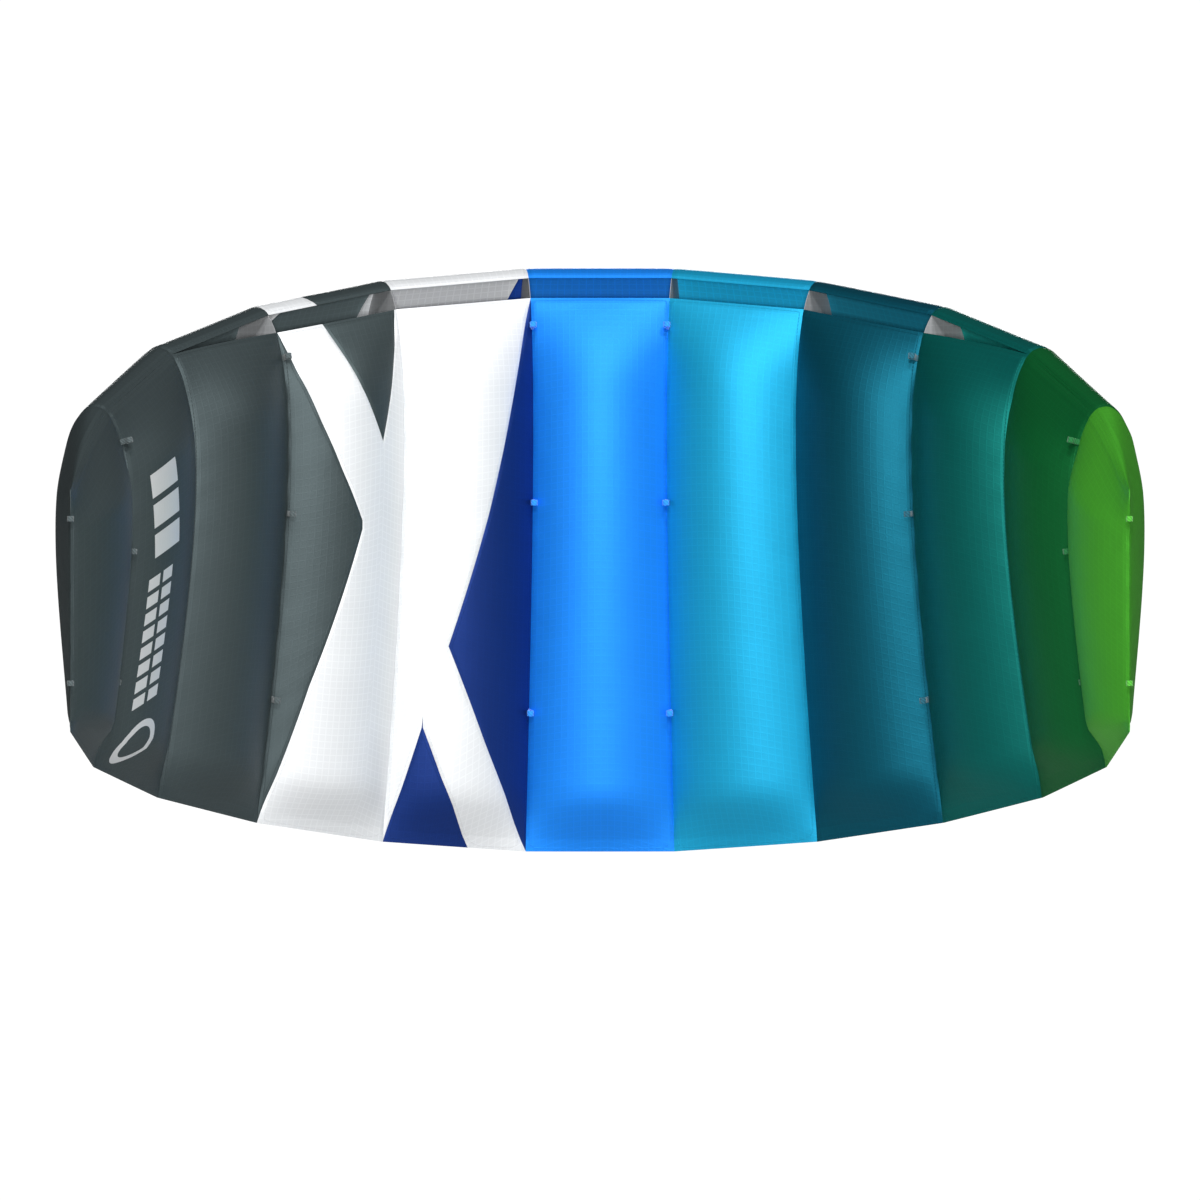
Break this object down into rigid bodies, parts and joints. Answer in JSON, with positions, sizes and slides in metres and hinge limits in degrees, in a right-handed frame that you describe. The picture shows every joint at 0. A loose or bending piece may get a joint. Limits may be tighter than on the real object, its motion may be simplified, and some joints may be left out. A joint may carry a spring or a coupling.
{
  "type": "ram-air foil kite",
  "caption": "Ram-air power kite: arched inflated wing of sewn cells with open intakes in the middle of the nose, ribs inside and bridle loops on its lower side.",
  "frame": {"origin": "on the centre cell's lower skin, a quarter of the chord behind the nose, where the bridle's pull acts", "axes": "+X to the right-hand tip as the pilot sees it, -Y to the pilot (lower skin side), +Z along the chord to the nose"},
  "size_m": [0.7892, 0.4417, 0.4291],
  "materials": {
    "ripstop_azure": "coated ripstop, semi-gloss sheen",
    "ripstop_white": "coated ripstop, semi-gloss sheen",
    "ripstop_charcoal": "coated ripstop, semi-gloss sheen",
    "ripstop_cyan": "coated ripstop, semi-gloss sheen",
    "ripstop_petrol": "coated ripstop, semi-gloss sheen",
    "ripstop_teal": "coated ripstop, semi-gloss sheen",
    "ripstop_dark_green": "coated ripstop, semi-gloss sheen",
    "ripstop_bright_green": "coated ripstop, semi-gloss sheen",
    "ripstop_navy": "coated ripstop, semi-gloss sheen",
    "rib_cloth": "uncoated rib cloth, matt",
    "loop_webbing": "woven webbing, matt"
  },
  "bodies": {
    "centre": {"upper_skin_centre": "ripstop_azure", "lower_skin_centre": "ripstop_azure", "rib_left_1": "rib_cloth", "rib_right_1": "rib_cloth", "bridle_loop_left_1a": "loop_webbing", "bridle_loop_left_1b": "loop_webbing", "bridle_loop_left_1c": "loop_webbing", "bridle_loop_right_1a": "loop_webbing", "bridle_loop_right_1b": "loop_webbing", "bridle_loop_right_1c": "loop_webbing"},
    "left_1": {"upper_skin_left_1": "ripstop_white", "lower_skin_left_1": "ripstop_white", "rib_left_2": "rib_cloth"},
    "left_2": {"upper_skin_left_2": "ripstop_white", "lower_skin_left_2": "ripstop_white", "rib_left_3": "rib_cloth", "bridle_loop_left_3a": "loop_webbing", "bridle_loop_left_3b": "loop_webbing", "bridle_loop_left_3c": "loop_webbing"},
    "left_3": {"upper_skin_left_3": "ripstop_charcoal", "lower_skin_left_3": "ripstop_charcoal", "rib_left_4": "rib_cloth"},
    "left_4": {"upper_skin_left_4": "ripstop_charcoal", "lower_skin_left_4": "ripstop_charcoal", "rib_left_5": "rib_cloth", "bridle_loop_left_5a": "loop_webbing", "bridle_loop_left_5b": "loop_webbing", "bridle_loop_left_5c": "loop_webbing"},
    "left_5": {"upper_skin_left_5": "ripstop_charcoal", "lower_skin_left_5": "ripstop_charcoal", "bridle_loop_left_tip_a": "loop_webbing", "bridle_loop_left_tip_b": "loop_webbing"},
    "right_1": {"upper_skin_right_1": "ripstop_cyan", "lower_skin_right_1": "ripstop_cyan", "rib_right_2": "rib_cloth"},
    "right_2": {"upper_skin_right_2": "ripstop_petrol", "lower_skin_right_2": "ripstop_petrol", "rib_right_3": "rib_cloth", "bridle_loop_right_3a": "loop_webbing", "bridle_loop_right_3b": "loop_webbing", "bridle_loop_right_3c": "loop_webbing"},
    "right_3": {"upper_skin_right_3": "ripstop_teal", "lower_skin_right_3": "ripstop_teal", "rib_right_4": "rib_cloth"},
    "right_4": {"upper_skin_right_4": "ripstop_dark_green", "lower_skin_right_4": "ripstop_dark_green", "rib_right_5": "rib_cloth", "bridle_loop_right_5a": "loop_webbing", "bridle_loop_right_5b": "loop_webbing", "bridle_loop_right_5c": "loop_webbing"},
    "right_5": {"upper_skin_right_5": "ripstop_bright_green", "lower_skin_right_5": "ripstop_bright_green", "bridle_loop_right_tip_a": "loop_webbing", "bridle_loop_right_tip_b": "loop_webbing"}
  },
  "joints": [
    {"name": "seam_left_1", "type": "hinge", "parent": "centre", "child": "left_1", "pos_m": [-0.05455, 0.05026, -0.10675], "axis": [0, 0, 1], "range_deg": [-4, 4], "stiffness_Nm_per_rad": 0.3},
    {"name": "seam_left_2", "type": "hinge", "parent": "left_1", "child": "left_2", "pos_m": [-0.15923, 0.01952, -0.10775], "axis": [0, 0, 1], "range_deg": [-4, 4], "stiffness_Nm_per_rad": 0.3},
    {"name": "seam_left_3", "type": "hinge", "parent": "left_2", "child": "left_3", "pos_m": [-0.25101, -0.03946, -0.11025], "axis": [0, 0, 1], "range_deg": [-4, 4], "stiffness_Nm_per_rad": 0.3},
    {"name": "seam_left_4", "type": "hinge", "parent": "left_3", "child": "left_4", "pos_m": [-0.32246, -0.12192, -0.11592], "axis": [0, 0, 1], "range_deg": [-4, 4], "stiffness_Nm_per_rad": 0.3},
    {"name": "seam_left_5", "type": "hinge", "parent": "left_4", "child": "left_5", "pos_m": [-0.36778, -0.22116, -0.12626], "axis": [0, 0, 1], "range_deg": [-4, 4], "stiffness_Nm_per_rad": 0.3},
    {"name": "seam_right_1", "type": "hinge", "parent": "centre", "child": "right_1", "pos_m": [0.05455, 0.05026, -0.10675], "axis": [0, 0, -1], "range_deg": [-4, 4], "stiffness_Nm_per_rad": 0.3},
    {"name": "seam_right_2", "type": "hinge", "parent": "right_1", "child": "right_2", "pos_m": [0.15923, 0.01952, -0.10775], "axis": [0, 0, -1], "range_deg": [-4, 4], "stiffness_Nm_per_rad": 0.3},
    {"name": "seam_right_3", "type": "hinge", "parent": "right_2", "child": "right_3", "pos_m": [0.25101, -0.03946, -0.11025], "axis": [0, 0, -1], "range_deg": [-4, 4], "stiffness_Nm_per_rad": 0.3},
    {"name": "seam_right_4", "type": "hinge", "parent": "right_3", "child": "right_4", "pos_m": [0.32246, -0.12192, -0.11592], "axis": [0, 0, -1], "range_deg": [-4, 4], "stiffness_Nm_per_rad": 0.3},
    {"name": "seam_right_5", "type": "hinge", "parent": "right_4", "child": "right_5", "pos_m": [0.36778, -0.22116, -0.12626], "axis": [0, 0, -1], "range_deg": [-4, 4], "stiffness_Nm_per_rad": 0.3}
  ],
  "couplings": [
    {"joint": "seam_left_2", "follows": "seam_left_1", "ratio": 1},
    {"joint": "seam_left_3", "follows": "seam_left_1", "ratio": 1},
    {"joint": "seam_left_4", "follows": "seam_left_1", "ratio": 1},
    {"joint": "seam_left_5", "follows": "seam_left_1", "ratio": 1},
    {"joint": "seam_right_2", "follows": "seam_right_1", "ratio": 1},
    {"joint": "seam_right_3", "follows": "seam_right_1", "ratio": 1},
    {"joint": "seam_right_4", "follows": "seam_right_1", "ratio": 1},
    {"joint": "seam_right_5", "follows": "seam_right_1", "ratio": 1}
  ]
}
